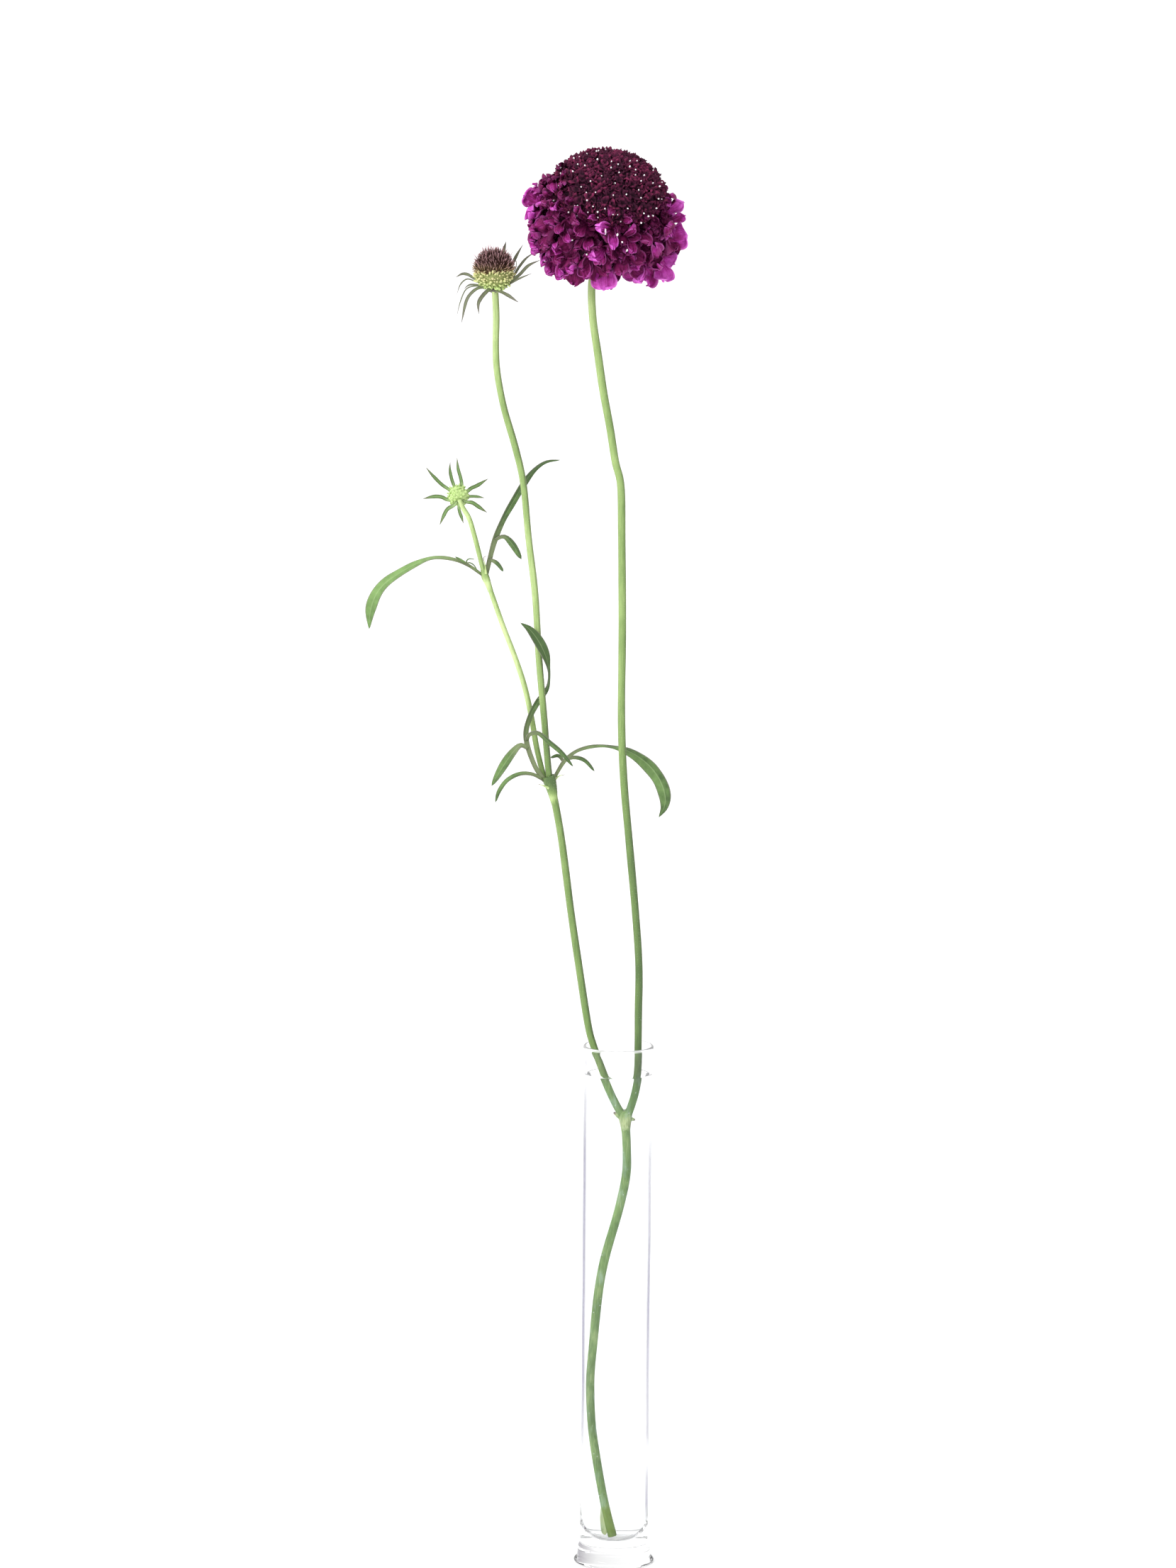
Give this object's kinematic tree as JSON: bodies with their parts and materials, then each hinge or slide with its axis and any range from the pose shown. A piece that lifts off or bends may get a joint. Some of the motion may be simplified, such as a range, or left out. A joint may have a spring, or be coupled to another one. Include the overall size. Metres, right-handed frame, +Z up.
{
  "type": "scabiosa in vase",
  "caption": "Cut scabious stalk with an open bloom, a seed head, a bud and narrow leaves, standing in a slim water-filled glass tube vase.",
  "frame": {"origin": "centre of the vase's flat underside, on the surface it stands on", "axes": "+Z up along the vase's axis, -Y towards the side that the picture shows, +X to that side's right"},
  "size_m": [0.1131, 0.0568, 0.5134],
  "materials": {
    "clear_glass": "clear, smooth glass",
    "water": "clear still water",
    "stem": "smooth green herb stem, lighter on one side",
    "leaf": "matt mid green leaf with a pale midrib",
    "petal": "soft magenta purple petals, paler at the rim",
    "floret": "dark burgundy florets with white pins",
    "bract": "matt green bracts",
    "bristle": "brown purple dry bristles",
    "calyx": "yellow green calyxes",
    "dry_bract": "olive bracts with mauve tips",
    "bud": "pale green closed florets"
  },
  "bodies": {
    "root": {"vase": "clear_glass", "water": "water", "stalk": "stem", "leaf_upper_left": "leaf", "leaf_upper_right": "leaf", "leaf_middle_left": "leaf", "leaf_middle_right": "leaf", "bloom_petals": "petal", "bloom_dome": "floret", "bloom_bracts": "bract", "seed_head_bristles": "bristle", "seed_head_calyxes": "calyx", "seed_head_bracts": "dry_bract", "bud_head": "bud", "bud_bracts": "bract"}
  },
  "joints": []
}
